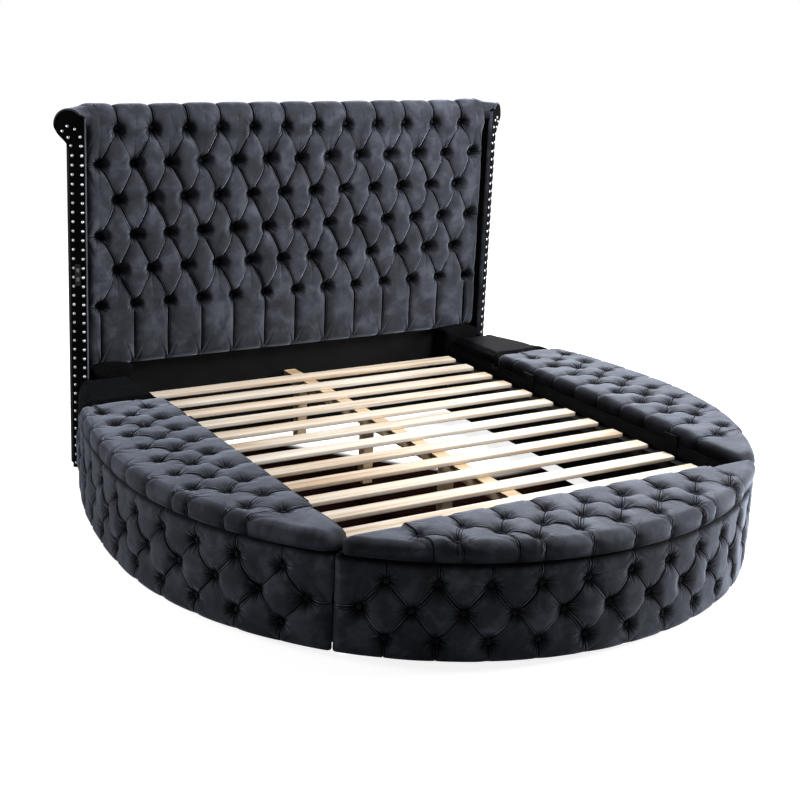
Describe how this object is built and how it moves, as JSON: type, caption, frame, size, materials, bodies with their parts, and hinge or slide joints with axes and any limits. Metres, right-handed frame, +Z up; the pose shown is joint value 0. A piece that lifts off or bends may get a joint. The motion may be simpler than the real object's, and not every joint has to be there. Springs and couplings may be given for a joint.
{
  "type": "round bed",
  "caption": "Round storage bed with a button-tufted velvet headboard, scrolled side boards with nail trim, a slatted mattress well and hinged upholstered bench lids on three sides",
  "frame": {"origin": "middle of the base of the whole bed, on the floor", "axes": "X across the bed, to the right as seen from its foot; Y from the foot to the headboard; Z up"},
  "size_m": [2.5436, 2.4799, 1.5479],
  "materials": {
    "velvet": "dark grey short-pile velvet",
    "slat_wood": "raw planed softwood",
    "beam_wood": "raw sawn softwood",
    "plywood": "raw plywood",
    "rail_cloth": "black lining cloth over plywood",
    "black_cloth": "plain black lining cloth",
    "black_metal": "black powder coat",
    "nail_metal": "polished",
    "plate_plastic": "gloss black",
    "port_plastic": "matt grey",
    "foot_plastic": "matt black"
  },
  "bodies": {
    "base": {"box_feet": "foot_plastic", "centre_beam": "beam_wood", "centre_legs": "beam_wood", "charging_plate": "plate_plastic", "charging_ports": "port_plastic", "foot_box_floor": "plywood", "foot_inner_rail": "rail_cloth", "foot_outer_wall": "rail_cloth", "foot_wall_cover": "velvet", "headboard_buttons": "velvet", "headboard_pad": "velvet", "headboard_panel": "rail_cloth", "hinge_fixed_leaves": "black_metal", "hinge_pins": "black_metal", "left_box_floor": "plywood", "left_bulkheads": "plywood", "left_inner_rail": "rail_cloth", "left_outer_wall": "rail_cloth", "left_post": "rail_cloth", "left_rear_board": "rail_cloth", "left_rear_pad": "velvet", "left_scroll_board": "velvet", "left_wall_cover": "velvet", "lower_panel": "black_cloth", "right_box_floor": "plywood", "right_bulkheads": "plywood", "right_inner_rail": "rail_cloth", "right_outer_wall": "rail_cloth", "right_post": "rail_cloth", "right_rear_board": "rail_cloth", "right_rear_pad": "velvet", "right_scroll_board": "velvet", "right_wall_cover": "velvet", "slat_01": "slat_wood", "slat_02": "slat_wood", "slat_03": "slat_wood", "slat_04": "slat_wood", "slat_05": "slat_wood", "slat_06": "slat_wood", "slat_07": "slat_wood", "slat_08": "slat_wood", "slat_09": "slat_wood", "slat_10": "slat_wood", "slat_11": "slat_wood", "slat_12": "slat_wood", "slat_cleats": "beam_wood", "strip_nails": "nail_metal", "wall_buttons": "velvet"},
    "left_lid": {"left_lid_board": "rail_cloth", "left_lid_pad": "velvet", "left_lid_buttons": "velvet", "left_hinge_leaves": "black_metal"},
    "right_lid": {"right_lid_board": "rail_cloth", "right_lid_pad": "velvet", "right_lid_buttons": "velvet", "right_hinge_leaves": "black_metal"},
    "foot_lid": {"foot_lid_board": "rail_cloth", "foot_lid_pad": "velvet", "foot_lid_buttons": "velvet", "foot_hinge_leaves": "black_metal"}
  },
  "joints": [
    {"name": "left_lid_hinge", "type": "hinge", "parent": "base", "child": "left_lid", "pos_m": [-0.812, 0, 0.396], "axis": [0, 1, 0], "range_deg": [0, 60]},
    {"name": "right_lid_hinge", "type": "hinge", "parent": "base", "child": "right_lid", "pos_m": [0.812, 0, 0.396], "axis": [0, -1, 0], "range_deg": [0, 60]},
    {"name": "foot_lid_hinge", "type": "hinge", "parent": "base", "child": "foot_lid", "pos_m": [0, -0.85, 0.396], "axis": [-1, 0, 0], "range_deg": [0, 60]}
  ]
}
